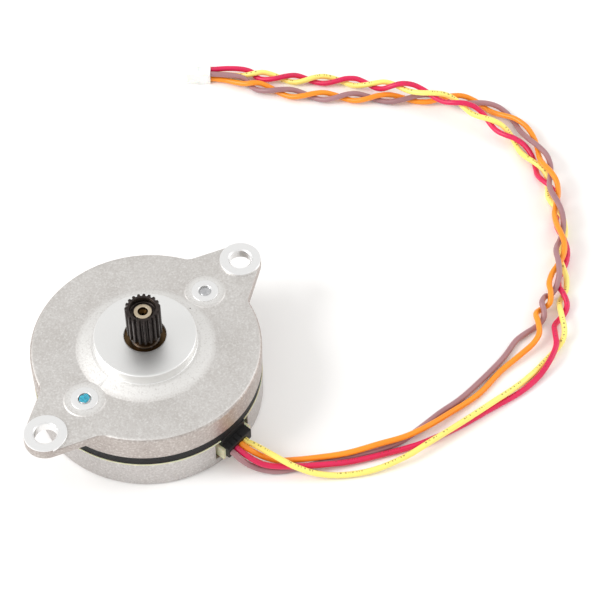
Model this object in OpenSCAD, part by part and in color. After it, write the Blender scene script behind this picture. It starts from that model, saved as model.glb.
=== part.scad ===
// Round flat stepper motor with two mounting ears, a pilot boss, a pinion and a four-wire lead.
// Origin: centre of the rear face. +Z: along the shaft towards the pinion. X: through both ears.
// The lead leaves towards -Y. Units are millimetres.

/* [Body] */
// Outside diameter of both covers
body_d = 36; // [35.8:0.1:37]
// Height from the rear face to the front face
body_h = 12.2; // [12.2:0.1:12.6]
// Thickness of the front and rear plates
plate_t = 1; // [0.8:0.1:1.1]
// Chamfer on the outer edges of the covers
edge_chamfer = 0.35; // [0.1:0.05:0.6]

/* [Mounting ears] */
// Distance between the centres of the two ear holes
ear_pitch = 44; // [43:0.1:46]
// Diameter of each ear hole
ear_hole_d = 3.5; // [3.2:0.1:3.8]
// Outside diameter of each ear
ear_d = 6.7; // [6:0.1:8]
// Thickness of the cast ear
ear_t = 1.6; // [1.2:0.1:2.4]
// Height of the machined pad above the front face
ear_pad_h = 0.35; // [0.1:0.05:0.6]

/* [Pilot] */
// Diameter of the pilot boss
pilot_d = 16; // [14:0.5:17]
// Height of the pilot boss above the front face
pilot_h = 2.6; // [2.6:0.1:3]
// Diameter of the clearance hole around the shaft
pilot_hole_d = 6.5; // [6:0.1:7]
// Diameter of the cast pedestal around the boss
pedestal_d = 21.8; // [20:0.1:22]

/* [Case screws] */
// Distance of each case screw from the motor axis
screw_r = 13.6; // [13.4:0.1:13.7]
// Thread diameter of the case screws
screw_d = 2; // [1.8:0.1:2]

/* [Stator and rotor] */
// Outside diameter of the stator stack
stator_d = 34.8; // [34.6:0.1:34.8]
// Thickness of the stator stack
stack_t = 4; // [3.8:0.1:4]
// Number of rotor teeth
rotor_teeth = 50; // [50:1:50]
// Radial air gap between the stator and rotor teeth
air_gap = 0.15; // [0.12:0.01:0.25]
// Diameter of the shaft
shaft_d = 3; // [2.8:0.1:3]

/* [Pinion] */
// Number of pinion teeth
pinion_teeth = 19; // [16:1:22]
// Diameter over the pinion's teeth
pinion_d = 5.5; // [5.2:0.1:5.6]
// Toothed length of the pinion
pinion_l = 5.9; // [5:0.1:7]

/* [Lead] */
// Outside diameter of each insulated wire
wire_d = 0.95; // [0.8:0.05:0.95]
// Spacing of the wires where they leave the terminal block
wire_pitch = 1; // [1:0.05:1.15]

/* [Hidden] */

$fn = 64;
eps = 0.01;          // overrun of a cutting tool past a face
press_gap = 0.01;    // radial gap in a pressed joint
seat_gap = 0.02;     // radial gap of a ring or a stack in its seat

// Heights along the shaft
rim_z = body_h - 6.7;                // rim of the rear cover
lip_t = 0.2;                         // edge of the rear insulator between rim and stator
stator_z = rim_z + lip_t;            // underside of the stator stack
stator_top = stator_z + stack_t;
skirt_z = stator_z + 1.8;            // lower end of the front cover's skirt
stack_mid = stator_z + stack_t / 2;
face_z = body_h;
pilot_z = face_z + pilot_h;          // top of the pilot boss
pilot_lip = 0.6;                     // thickness of the lip over the front bearing
bearing_w = 3;
bearing_d = 8;
front_bearing_z = pilot_z - pilot_lip - bearing_w;
washer_h = 0.35;
rear_bearing_z = plate_t + washer_h;
rotor_disc_t = 1.2;
rotor_z = stack_mid - 1.5 * rotor_disc_t;
rotor_top = stack_mid + 1.5 * rotor_disc_t;
collar_h = 1.5;
collar_z = pilot_z - pilot_lip;
pinion_z = collar_z + collar_h;
pinion_top = pinion_z + pinion_l;
shaft_top = pinion_top - 0.85;
shaft_bottom = plate_t + 0.25;

// Covers
body_r = body_d / 2;
cavity_r = body_r - 1.6;             // inside of the rear cover and the front coil space
boss_r = 5.4;                        // rear bearing boss
screw_head_r = 1.9;
screw_head_h = 1.3;
screw_head_z = 0.3;                  // the head sits below the rear face
rear_boss_r = 3;
front_boss_r = 1.8;
screw_tip_z = face_z + 0.12;
screw_pad_r = 3.2;
screw_ring_r = 2.1;

// Ear outline: straight flanks tangent to the ear, rounded into the body
flank_angle = 26.6;
fillet_r = 2.5;
ear_x = ear_pitch / 2;
flank_n = [sin(flank_angle), cos(flank_angle)];
flank_u = [-cos(flank_angle), sin(flank_angle)];
fillet_sink = 0.15;                  // the round runs this far into the body
fillet_base = [ear_x, 0] + (ear_d / 2 + fillet_r) * flank_n;
fillet_b = fillet_base * flank_u;
fillet_c = fillet_base * fillet_base - (body_r - fillet_sink + fillet_r) ^ 2;
fillet_centre = fillet_base + (-fillet_b - sqrt(fillet_b ^ 2 - fillet_c)) * flank_u;
ear_root_r = body_r - 0.8;           // the ear starts inside the wall of the cover
fillet_end = atan2(fillet_centre[1], fillet_centre[0]) - 180;

// Stator and rotor teeth
poles = 8;
pole_teeth = 6;
tooth_angle = 360 / rotor_teeth;
stator_tip_r = 9.1;
stator_root_r = 9.45;
shoe_r = 10.3;
neck_half = 1.6;
neck_r = 10.6;
yoke_r = 15.4;
band_r = body_r - 0.12;              // edge of the sheets that shows between the covers
shoe_half_angle = 19.7;
rotor_tip_r = stator_tip_r - air_gap;
rotor_root_r = rotor_tip_r - 0.35;
magnet_r = 7.8;

// Coils and insulators
insulator_t = 0.4;
collar_gap = 0.02;
collar_t = 0.3;
coil_build = 1.2;
coil_inner_half = neck_half + collar_gap + collar_t + collar_gap;
coil_r0 = 10.7;
coil_l = 4.3;
coil_half_h = stack_t / 2 + insulator_t + 0.8;
coil_half_w = coil_inner_half + coil_build;
coil_corner_r = norm([coil_r0 + coil_l, coil_half_w]) + 0.05;

// Ball bearings
ball_r = 0.7;
ball_count = 7;
ball_pitch_r = 2.8;
groove_r = 0.75;
pocket_r = 0.74;
cage_half = 0.95;
inner_ring_r = 2.25;
outer_ring_r = 3.35;
shield_r = 3.45;
shield_t = 0.2;

// Terminal tray and block
tray_x0 = -3.1;
tray_x1 = 3.1;
tray_wall = 0.5;
tray_y = -18.6;
block_y = -19.3;
tray_z0 = 1.8;
tray_z1 = 4.1;
block_top = 4.4;
tray_floor_t = 0.4;
notch_x0 = -3.8;
notch_x1 = 3.6;
notch_z = 1.6;
block_back_y = -16.75;
block_riser_y = -17.9;
board_y1 = -11.5;
board_t = 0.8;
pin_r = 0.25;
pin_y = -15.6;
wire_exit_x = -0.45;
wire_exit_z = 3.3;

// Lead: each wire's loose stretch, the points where the two wires of its pair cross,
// and its last points before the connector
wire_sides = 8;
twist_side = 0.7;    // half the spread of a pair, side to side
twist_rise = 0.55;   // half the height between the wires where they cross
twist_steps = 3;     // rings in each half turn
LOOSE_BROWN = [[-1.9, -20.9, 2.85], [-1.2, -22.3, 1.65], [-0.2, -23.9, 0.85], [1.2, -25.7, 0.55],
    [3.4, -27.5, 0.5], [7.2, -30.1, 0.5], [10.6, -32.6, 0.5], [14.5, -35.2, 0.5],
    [18.2, -36.9, 0.5], [22.2, -37.6, 0.5], [26.4, -38.2, 0.55], [30.5, -39, 0.55],
    [36, -39.3, 0.5], [41.3, -39.3, 0.5], [45.2, -38.8, 0.5], [47.5, -39.1, 0.55],
    [49.8, -39.6, 0.55], [51.5, -39.7, 0.95], [52.5, -39.1, 1.65], [53.3, -38, 2.25],
    [55.2, -37.4, 1.5]];
LOOSE_RED = [[-0.9, -20.8, 3.1], [-0.5, -22.5, 2.5], [0.2, -24.1, 1.95], [1.4, -25.7, 1.7],
    [2.7, -27.1, 1.55], [6, -30.3, 1.3], [9.9, -33.4, 0.8], [14.2, -36.2, 0.6],
    [18.1, -38.6, 0.55], [21, -40.1, 0.6], [26.3, -42.1, 0.5], [32.2, -43.8, 0.5],
    [37.7, -45.4, 0.5], [42, -45.9, 0.7], [45.3, -45.6, 1.4], [48.2, -44.7, 1.65],
    [50.3, -43, 1.25], [51.9, -41.8, 0.65], [53.7, -41.6, 0.5], [55.3, -41.5, 0.7],
    [56.6, -40.8, 1.2]];
LOOSE_ORANGE = [[0.2, -21, 3.1], [0.8, -22.3, 2.35], [1.6, -23.5, 1.6], [2.5, -24.7, 1.1],
    [3.9, -26.1, 0.9], [6.6, -29, 1.35], [10.3, -32.2, 1.55], [14.7, -35, 1.8],
    [18.7, -37.2, 1.55], [22.9, -38.6, 1.25], [27, -39.5, 0.9], [33, -40.6, 0.5],
    [38.7, -40.6, 0.6], [43.2, -41.2, 1], [46.3, -41.5, 1.2], [48.5, -41.1, 1.5], [50, -39.7, 1.8],
    [51.4, -38.3, 1.35], [53.1, -38.2, 0.8], [54.3, -38.9, 1.8]];
LOOSE_YELLOW = [[1.2, -20.7, 3.3], [1.5, -22.6, 3.3], [1.9, -24.8, 3.05], [2.4, -26.9, 2.65],
    [3.1, -28.6, 2.1], [4.6, -31, 1.2], [7.3, -34, 0.65], [11.1, -37.1, 0.8], [15.8, -39.5, 1.4],
    [20.2, -40.7, 1.55], [26.3, -42.2, 1.55], [32.4, -43.6, 1.65], [37.9, -44.5, 1.05],
    [42.3, -44.8, 0.55], [45.9, -44.8, 0.5], [48.3, -44.8, 0.55], [50.3, -44.6, 1.1],
    [51.8, -43.7, 1.7], [53.8, -41.6, 1.8], [56.1, -39.7, 0.65]];
PAIR_A = [[55.8, -37.9, 2.05], [61, -35.5, 3.25], [66, -32.5, 3.2], [71.5, -27.5, 3.2],
    [76, -23, 3.2], [80, -17.5, 2.3], [83.5, -10, 1.1], [83, -3.5, 1.05], [80.5, 2, 1.05],
    [76, 7, 1.05], [72, 12, 1.05], [68.5, 16.5, 1.05], [65, 21, 1.05], [62, 26, 1.05],
    [59.8, 31, 1.05]];
PAIR_B = [[57.6, -39.2, 1.05], [62, -36, 1.05], [67, -32.5, 1.05], [71.5, -28, 1.05],
    [75, -23.5, 1.05], [77.5, -19, 1.05], [79.5, -13, 1.4], [79.5, -7.5, 2.4], [79, -2, 3.2],
    [77.5, 3.5, 3.2], [75.5, 9.5, 3.1], [73.5, 14, 1.7], [71.5, 19, 1.05], [68, 23.5, 1.05],
    [65, 27.5, 1.05], [62.1, 32, 1.1]];
TAIL_BROWN = [[60.07, 32.19, 0.72], [59.95, 33.14, 1.2], [59.25, 34.24, 1.6], [58.12, 35.65, 1.82]];
TAIL_RED = [[62.4, 33.17, 0.7], [61.86, 34.13, 1.15], [60.67, 35.29, 1.65], [59.23, 36.77, 1.83]];
TAIL_ORANGE = [[59.05, 32.01, 1.3], [58.52, 33.66, 0.9], [57.91, 35.51, 0.66]];
TAIL_YELLOW = [[61.25, 32.9, 1.35], [60.6, 33.94, 0.85], [59.78, 35.37, 0.62], [58.85, 36.72, 0.64]];

// Connector
plug_angle = 130;
plug_at = [56.83, 38.34];
plug_l = 4.3;
plug_w = 2.8;
plug_h = 2.5;
cell = 1;
cell_side = 0.6;     // cavity centres from the housing's middle, side to side
cell_low = 0.65;
cell_high = 1.85;
wire_in = 0.8;       // how far a wire goes into its cavity
CELLS = [[-1, cell_high], [1, cell_high], [-1, cell_low], [1, cell_low]];

wire_r = wire_d / 2;

// ---- helpers ----

function polar(r, a) = [r * cos(a), r * sin(a)];

function unit(v) = v / norm(v);

// A point of the smooth curve through p at position t, counted in points
function on_curve(p, t) =
    let (n = len(p) - 1, i = min(floor(t), n - 1), f = t - i,
         a = p[max(i - 1, 0)], b = p[i], c = p[i + 1], d = p[min(i + 2, n)])
    0.5 * (2 * b + (c - a) * f + (2 * a - 5 * b + 4 * c - d) * f ^ 2
        + (3 * b - a - 3 * c + d) * f ^ 3);

// One wire of a twisted pair: start is 0 if it lies on top at the first crossing, else 1
function twisted(p, start) =
    [for (i = [0 : (len(p) - 1) * twist_steps])
        let (t = i / twist_steps,
             along = on_curve(p, min(t + 0.05, len(p) - 1)) - on_curve(p, max(t - 0.05, 0)),
             side = unit([-along[1], along[0], 0]),
             turn = 180 * (t - start))
        on_curve(p, t) + twist_side * sin(turn) * side + [0, 0, twist_rise * cos(turn)]];

// The point where wire i leaves the terminal block, counted from -X
function exit_point(i) = [wire_exit_x + (i - 1.5) * wire_pitch, block_y, wire_exit_z];

// A place in the connector: along from its wire end, side to side, and height
function in_plug(along, side, z) =
    [plug_at[0] + along * cos(plug_angle) - side * sin(plug_angle),
     plug_at[1] + along * sin(plug_angle) + side * cos(plug_angle), z];

// The route of a wire into cavity c of the connector
function route(i, loose, pair, start, tail, c) =
    concat([exit_point(i), exit_point(i) + [0, -0.8, -0.05]], loose, twisted(pair, start), tail,
        [in_plug(-0.6, CELLS[c][0] * cell_side, CELLS[c][1]),
         in_plug(wire_in, CELLS[c][0] * cell_side, CELLS[c][1])]);

// A tube of radius r swept along the points p
module tube(p, r, sides) {
    n = len(p);
    rings = [for (i = [0 : n - 1])
        let (t = unit(p[min(i + 1, n - 1)] - p[max(i - 1, 0)]),
             side = unit(cross(t, [0, 0, 1])),
             up = cross(side, t))
        for (k = [0 : sides - 1])
            p[i] + r * (cos(360 * (k + 0.5) / sides) * side + sin(360 * (k + 0.5) / sides) * up)];
    walls = [for (i = [0 : n - 2]) for (k = [0 : sides - 1])
        let (a = i * sides + k, b = i * sides + (k + 1) % sides)
        for (f = [[a, a + sides, b], [b, a + sides, b + sides]]) f];
    start_cap = [[for (k = [0 : sides - 1]) k]];
    end_cap = [[for (k = [sides - 1 : -1 : 0]) (n - 1) * sides + k]];
    polyhedron(points = rings, faces = concat(walls, start_cap, end_cap), convexity = 10);
}

module ring(r0, r1, z0, z1) {
    translate([0, 0, z0]) difference() {
        cylinder(h = z1 - z0, r = r1);
        translate([0, 0, -eps]) cylinder(h = z1 - z0 + 2 * eps, r = r0);
    }
}

module block(x0, x1, y0, y1, z0, z1) {
    translate([x0, y0, z0]) cube([x1 - x0, y1 - y0, z1 - z0]);
}

module at_screws() {
    for (s = [-1, 1]) translate([s * screw_r, 0, 0]) children();
}

module at_poles() {
    for (k = [0 : poles - 1]) rotate([0, 0, (k + 0.5) * 360 / poles]) children();
}

module rounded_rect(w, h, r) {
    square([w - 2 * r, h], center = true);
    square([w, h - 2 * r], center = true);
    for (x = [-1, 1]) for (y = [-1, 1])
        translate([x * (w / 2 - r), y * (h / 2 - r)]) circle(r = r, $fn = 32);
}

// ---- covers ----

// Half of the ear's outline, from inside the body to the ear's outermost point
function half_ear() = concat(
    [[ear_root_r, 0], ear_root_r * unit(fillet_centre)],
    [for (i = [0 : 4])
        fillet_centre + polar(fillet_r, fillet_end + i / 4 * (-90 - flank_angle - fillet_end))],
    [for (i = [0 : 12]) [ear_x, 0] + polar(ear_d / 2, (90 - flank_angle) * (1 - i / 12))]);

module ears() {
    half = half_ear();
    other = [for (i = [len(half) - 2 : -1 : 1]) [half[i][0], -half[i][1]]];
    for (s = [0, 1]) mirror([s, 0, 0]) {
        translate([0, 0, face_z - ear_t]) linear_extrude(ear_t) polygon(concat(half, other));
        translate([ear_x, 0, face_z - eps]) cylinder(h = ear_pad_h + eps, r = ear_d / 2 - 0.05);
    }
}

module front_shell() {
    rotate_extrude() polygon([[0, skirt_z], [body_r, skirt_z], [body_r, face_z - edge_chamfer],
        [body_r - edge_chamfer, face_z], [0, face_z]]);
}

module pilot_boss() {
    chamfer = 0.25;
    translate([0, 0, face_z - eps]) cylinder(h = 0.7, r1 = pedestal_d / 2, r2 = pilot_d / 2 + 0.4);
    rotate_extrude() polygon([[0, face_z - eps], [pilot_d / 2, face_z - eps],
        [pilot_d / 2, pilot_z - chamfer], [pilot_d / 2 - chamfer, pilot_z], [0, pilot_z]]);
}

module screw_pads() {
    at_screws() {
        translate([0, 0, face_z - eps]) cylinder(h = 0.1 + eps, r = screw_pad_r);
        translate([0, 0, face_z]) cylinder(h = 0.25, r = screw_ring_r);
    }
}

module front_cover() {
    color("gainsboro") difference() {
        union() {
            difference() {
                front_shell();
                translate([0, 0, skirt_z - eps])
                    cylinder(h = stator_top - skirt_z + eps, r = stator_d / 2 + seat_gap);
                translate([0, 0, skirt_z])
                    cylinder(h = face_z - plate_t - skirt_z, r = cavity_r);
            }
            ears();
            pilot_boss();
            screw_pads();
            at_screws() translate([0, 0, stator_top + insulator_t])
                cylinder(h = face_z - stator_top - insulator_t, r = front_boss_r);
        }
        translate([0, 0, front_bearing_z - 1])
            cylinder(h = bearing_w + 1, r = bearing_d / 2 + seat_gap);
        translate([0, 0, front_bearing_z]) cylinder(h = 10, r = pilot_hole_d / 2);
        for (s = [-1, 1]) translate([s * ear_x, 0, 0]) cylinder(h = 20, r = ear_hole_d / 2);
        at_screws() cylinder(h = 20, r = screw_d / 2 + seat_gap);
    }
}

module rear_cover() {
    color("silver") difference() {
        union() {
            difference() {
                rotate_extrude() polygon([[0, 0], [body_r - edge_chamfer, 0],
                    [body_r, edge_chamfer], [body_r, rim_z], [0, rim_z]]);
                translate([0, 0, plate_t]) cylinder(h = rim_z, r = cavity_r);
            }
            cylinder(h = rear_bearing_z + bearing_w, r = boss_r);
            at_screws() cylinder(h = screw_head_z + screw_head_h + 1.8, r = rear_boss_r);
        }
        translate([0, 0, plate_t]) cylinder(h = 10, r = bearing_d / 2 + seat_gap);
        at_screws() {
            translate([0, 0, -1]) cylinder(h = 10, r = screw_d / 2 + 0.12);
            translate([0, 0, -1])
                cylinder(h = 1 + screw_head_z + screw_head_h, r = screw_head_r + 0.2);
        }
        block(notch_x0, notch_x1, -body_r - 1, -cavity_r + 1.6, notch_z, rim_z + 1);
    }
}

// ---- stator ----

// Inside outline of the stator over one pole, from the slot before it to the slot after it
function pole_outline() = concat(
    [for (a = [-22.5 : 3 : -10.5]) polar(yoke_r, a)],
    [[sqrt(yoke_r ^ 2 - neck_half ^ 2), -neck_half], [neck_r, -neck_half],
     polar(shoe_r, -shoe_half_angle)],
    [for (i = [0 : pole_teeth - 1])
        let (mid = (i - (pole_teeth - 1) / 2) * tooth_angle)
        for (q = [[stator_root_r, -1.9], [stator_tip_r, -1.5],
                  [stator_tip_r, 1.5], [stator_root_r, 1.9]])
            polar(q[0], mid + q[1])],
    [polar(shoe_r, shoe_half_angle), [neck_r, neck_half],
     [sqrt(yoke_r ^ 2 - neck_half ^ 2), neck_half]],
    [for (a = [10.5 : 3 : 19.5]) polar(yoke_r, a)]);

function turned(p, a) = [p[0] * cos(a) - p[1] * sin(a), p[0] * sin(a) + p[1] * cos(a)];

module stator_core() {
    one = pole_outline();
    inside = [for (k = [0 : poles - 1]) for (p = one) turned(p, (k + 0.5) * 360 / poles)];
    color("black") {
        translate([0, 0, stator_z]) linear_extrude(stack_t) difference() {
            circle(r = stator_d / 2, $fn = 128);
            polygon(inside);
        }
        ring(stator_d / 2 - 0.5, band_r, stator_z, skirt_z - 0.02);
    }
}

// Plate over one end of the stack, with a sleeve half way down each pole
module insulator_plate() {
    linear_extrude(insulator_t) {
        difference() {
            circle(r = cavity_r - 0.1);
            circle(r = coil_corner_r);
        }
        difference() {
            circle(r = neck_r);
            circle(r = 9.7);
        }
        at_poles() translate([neck_r - 0.4, -neck_half - collar_gap - collar_t])
            square([coil_r0 + coil_l - neck_r + 1, 2 * (neck_half + collar_gap + collar_t)]);
    }
    at_poles() for (s = [0, 1]) mirror([0, s, 0])
        block(coil_r0, coil_r0 + coil_l, neck_half + collar_gap,
            neck_half + collar_gap + collar_t, -stack_t / 2 + 0.05, insulator_t);
}

module front_insulator() {
    color("ivory") difference() {
        translate([0, 0, stator_top]) insulator_plate();
        at_screws() translate([0, 0, stator_top - 1]) cylinder(h = 3, r = screw_d / 2 + 0.3);
    }
}

module tray() {
    for (x = [tray_x0, tray_x1 - tray_wall]) {
        block(x, x + tray_wall, tray_y, -15.2, tray_z0, tray_z1);
        block(x, x + tray_wall, -16.2, -15.2, tray_z0, stator_z - insulator_t + eps);
    }
    block(tray_x0, tray_x1, tray_y + 0.2, -15.2, tray_z0, tray_z0 + tray_floor_t);
}

module rear_insulator() {
    color("ivory") {
        difference() {
            union() {
                translate([0, 0, stator_z]) mirror([0, 0, 1]) insulator_plate();
                ring(cavity_r - 0.5, body_r, rim_z, stator_z);
            }
            at_screws() cylinder(h = 20, r = screw_d / 2 + 0.3);
            block(tray_x0 + tray_wall - 0.1, tray_x1 - tray_wall + 0.1, -body_r - 1, -16.2,
                rim_z - 1, stator_z + 1);
        }
        tray();
    }
}

module coil(k) {
    color("chocolate") translate([0, 0, stack_mid]) rotate([0, 0, (k - 0.5) * 360 / poles])
        translate([coil_r0, 0, 0]) rotate([90, 0, 90]) linear_extrude(coil_l) difference() {
            rounded_rect(2 * coil_half_w, 2 * coil_half_h, 0.7);
            square([2 * coil_inner_half, stack_t + 2 * insulator_t + 2 * collar_gap],
                center = true);
        }
}

// ---- rotor ----

module toothed_disc(z, shift) {
    outline = [for (i = [0 : rotor_teeth - 1])
        for (q = [[rotor_root_r, -1.9], [rotor_tip_r, -1.5],
                  [rotor_tip_r, 1.5], [rotor_root_r, 1.9]])
            polar(q[0], (i + shift) * tooth_angle + q[1])];
    color("slategray") translate([0, 0, z]) linear_extrude(rotor_disc_t) difference() {
        polygon(outline);
        circle(r = shaft_d / 2 + press_gap);
    }
}

module rotor_disc_front() {
    toothed_disc(rotor_top - rotor_disc_t, 0);
}

module rotor_disc_rear() {
    toothed_disc(rotor_z, 0.5);
}

module rotor_magnet() {
    color("dimgray") ring(shaft_d / 2 + press_gap, magnet_r,
        rotor_z + rotor_disc_t, rotor_top - rotor_disc_t);
}

module rotor_spacer_front() {
    color("silver") ring(shaft_d / 2 + press_gap, inner_ring_r - 0.15, rotor_top, front_bearing_z);
}

module rotor_spacer_rear() {
    color("silver") ring(shaft_d / 2 + press_gap, inner_ring_r - 0.15,
        rear_bearing_z + bearing_w, rotor_z);
}

module shaft() {
    chamfer = 0.15;
    r = shaft_d / 2;
    color("lightgray") difference() {
        rotate_extrude() polygon([[0, shaft_bottom], [r - chamfer, shaft_bottom],
            [r, shaft_bottom + chamfer], [r, shaft_top - chamfer],
            [r - chamfer, shaft_top], [0, shaft_top]]);
        translate([0, 0, shaft_top - 0.7]) cylinder(h = 0.71, r1 = 0.2, r2 = 0.75);
        translate([0, 0, shaft_top - 1.5]) cylinder(h = 1, r = 0.2);
    }
}

module pinion_collar() {
    color("darkgoldenrod") ring(shaft_d / 2 + press_gap, inner_ring_r - 0.15,
        collar_z, pinion_z);
}

module pinion() {
    tip = pinion_d / 2;
    root = tip - 0.45;
    pitch = 360 / pinion_teeth;
    outline = [for (i = [0 : pinion_teeth - 1])
        for (q = [[root, -0.33], [root + 0.2, -0.25], [tip, -0.12],
                  [tip, 0.12], [root + 0.2, 0.25], [root, 0.33]])
            polar(q[0], (i + q[1]) * pitch)];
    color([0.12, 0.11, 0.11]) translate([0, 0, pinion_z]) difference() {
        linear_extrude(pinion_l) polygon(outline);
        translate([0, 0, -1]) cylinder(h = 20, r = shaft_d / 2 + press_gap);
        translate([0, 0, pinion_l - 1.2]) cylinder(h = 2, r = 2);
    }
}

// ---- bearings ----

module groove() {
    rotate_extrude() translate([ball_pitch_r, bearing_w / 2]) circle(r = groove_r, $fn = 32);
}

module bearing_inner_ring(z) {
    color("lightsteelblue") translate([0, 0, z]) difference() {
        ring(shaft_d / 2 + press_gap, inner_ring_r, 0, bearing_w);
        groove();
    }
}

module bearing_outer_ring(z) {
    color("lightsteelblue") translate([0, 0, z]) difference() {
        ring(outer_ring_r, bearing_d / 2, 0, bearing_w);
        groove();
        for (y = [-1, bearing_w - shield_t - 0.05])
            translate([0, 0, y]) cylinder(h = 1 + shield_t + 0.05, r = shield_r);
    }
}

module at_balls() {
    for (k = [0 : ball_count - 1]) rotate([0, 0, k * 360 / ball_count])
        translate([ball_pitch_r, 0, bearing_w / 2]) children();
}

module bearing_balls(z) {
    color("white") translate([0, 0, z]) at_balls() sphere(r = ball_r, $fn = 32);
}

module bearing_cage(z) {
    color("goldenrod") translate([0, 0, z]) difference() {
        ring(ball_pitch_r - 0.25, ball_pitch_r + 0.25, bearing_w / 2 - cage_half, bearing_w / 2 + cage_half);
        at_balls() rotate([0, 90, 0]) cylinder(h = 2, r = pocket_r, center = true, $fn = 32);
    }
}

module bearing_shields(z) {
    color("dimgray") translate([0, 0, z]) {
        ring(inner_ring_r + 0.08, shield_r - press_gap, 0.05, 0.05 + shield_t);
        ring(inner_ring_r + 0.08, shield_r - press_gap,
            bearing_w - 0.05 - shield_t, bearing_w - 0.05);
    }
}

module front_bearing_outer_ring() { bearing_outer_ring(front_bearing_z); }
module front_bearing_inner_ring() { bearing_inner_ring(front_bearing_z); }
module front_bearing_balls() { bearing_balls(front_bearing_z); }
module front_bearing_cage() { bearing_cage(front_bearing_z); }
module front_bearing_shields() { bearing_shields(front_bearing_z); }
module rear_bearing_outer_ring() { bearing_outer_ring(rear_bearing_z); }
module rear_bearing_inner_ring() { bearing_inner_ring(rear_bearing_z); }
module rear_bearing_balls() { bearing_balls(rear_bearing_z); }
module rear_bearing_cage() { bearing_cage(rear_bearing_z); }
module rear_bearing_shields() { bearing_shields(rear_bearing_z); }

// Spring ring with three waves under the rear bearing
module wave_washer() {
    steps = 48;
    t = 0.12;
    r0 = 3.4;
    r1 = 3.9;
    wave = (washer_h - t) / 2;
    points = [for (i = [0 : steps - 1])
        let (a = i * 360 / steps, z = plate_t + wave + wave * sin(3 * a))
        for (q = [[r0, 0], [r1, 0], [r1, t], [r0, t]])
            [q[0] * cos(a), q[0] * sin(a), z + q[1]]];
    faces = [for (i = [0 : steps - 1]) for (k = [0 : 3])
        let (a = 4 * i + k, b = 4 * i + (k + 1) % 4,
             c = 4 * ((i + 1) % steps) + k, d = 4 * ((i + 1) % steps) + (k + 1) % 4)
        for (f = [[a, c, b], [b, c, d]]) f];
    color("silver") polyhedron(points = points, faces = faces, convexity = 6);
}

// ---- fasteners ----

module case_screws() {
    chamfer = 0.25;
    head_top = screw_head_z + screw_head_h;
    color("silver") at_screws() difference() {
        union() {
            translate([0, 0, screw_head_z]) cylinder(h = screw_head_h, r = screw_head_r);
            translate([0, 0, head_top])
                cylinder(h = screw_tip_z - chamfer - head_top, r = screw_d / 2);
            translate([0, 0, screw_tip_z - chamfer])
                cylinder(h = chamfer, r1 = screw_d / 2, r2 = screw_d / 2 - chamfer);
        }
        for (a = [0, 90]) rotate([0, 0, a]) translate([-1.1, -0.2, -1])
            cube([2.2, 0.4, 1 + screw_head_z + 0.8]);
    }
}

// Set drop of thread-locking compound on the end of the screw at -X
module threadlock_dab() {
    color("turquoise") translate([-screw_r, 0, screw_tip_z]) intersection() {
        translate([0, 0, -0.8]) sphere(r = 1.05, $fn = 48);
        cylinder(h = 1, r = 0.9);
    }
}

// ---- terminal ----

module terminal_block() {
    x0 = tray_x0 + tray_wall;
    x1 = tray_x1 - tray_wall;
    z0 = tray_z0 + tray_floor_t;
    color([0.05, 0.05, 0.06]) {
        block(x0, x1, block_y, block_back_y, z0, block_top);
        block(x0, x1, block_riser_y, block_back_y, block_top - eps, stator_z - 0.03);
    }
}

module pin_places() {
    for (i = [0 : 3]) translate([wire_exit_x + 0.2 + (i - 1.5) * 1.1, pin_y, 0]) children();
}

module terminal_board() {
    z0 = tray_z0 + tray_floor_t;
    color("darkgreen") difference() {
        block(tray_x0 + tray_wall + 0.1, tray_x1 - tray_wall - 0.1, block_back_y, board_y1,
            z0, z0 + board_t);
        pin_places() cylinder(h = 20, r = pin_r + 0.02);
    }
}

module terminal_pins() {
    z0 = tray_z0 + tray_floor_t;
    color("gold") pin_places() translate([0, 0, z0]) cylinder(h = 1.9, r = pin_r, $fn = 24);
}

// ---- lead ----

module wire(p) {
    tube(p, wire_r, wire_sides);
}

module wire_brown() {
    color([0.62, 0.45, 0.47]) wire(route(0, LOOSE_BROWN, PAIR_A, 1, TAIL_BROWN, 1));
}

module wire_red() {
    color([0.85, 0.1, 0.3]) wire(route(1, LOOSE_RED, PAIR_B, 0, TAIL_RED, 0));
}

module wire_orange() {
    color([0.95, 0.55, 0.1]) wire(route(2, LOOSE_ORANGE, PAIR_A, 0, TAIL_ORANGE, 3));
}

module wire_yellow() {
    color([0.95, 0.88, 0.4]) wire(route(3, LOOSE_YELLOW, PAIR_B, 1, TAIL_YELLOW, 2));
}

module in_housing() {
    translate([plug_at[0], plug_at[1], 0]) rotate([0, 0, plug_angle]) children();
}

module connector_housing() {
    color("white") in_housing() difference() {
        union() {
            block(0, plug_l, -plug_w / 2, plug_w / 2, 0, plug_h);
            block(plug_l - 2.2, plug_l - 0.6, -plug_w / 2 - 0.2, plug_w / 2 + 0.2, 0.6, 1);
        }
        for (c = CELLS)
            block(-1, plug_l + 1, c[0] * cell_side - cell / 2, c[0] * cell_side + cell / 2,
                c[1] - cell / 2, c[1] + cell / 2);
    }
}

module connector_contacts() {
    half = cell / 2 - 0.1;
    color("gold") in_housing() for (c = CELLS)
        block(wire_in, plug_l - 0.5, c[0] * cell_side - half, c[0] * cell_side + half,
            c[1] - half, c[1] + half);
}

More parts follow.
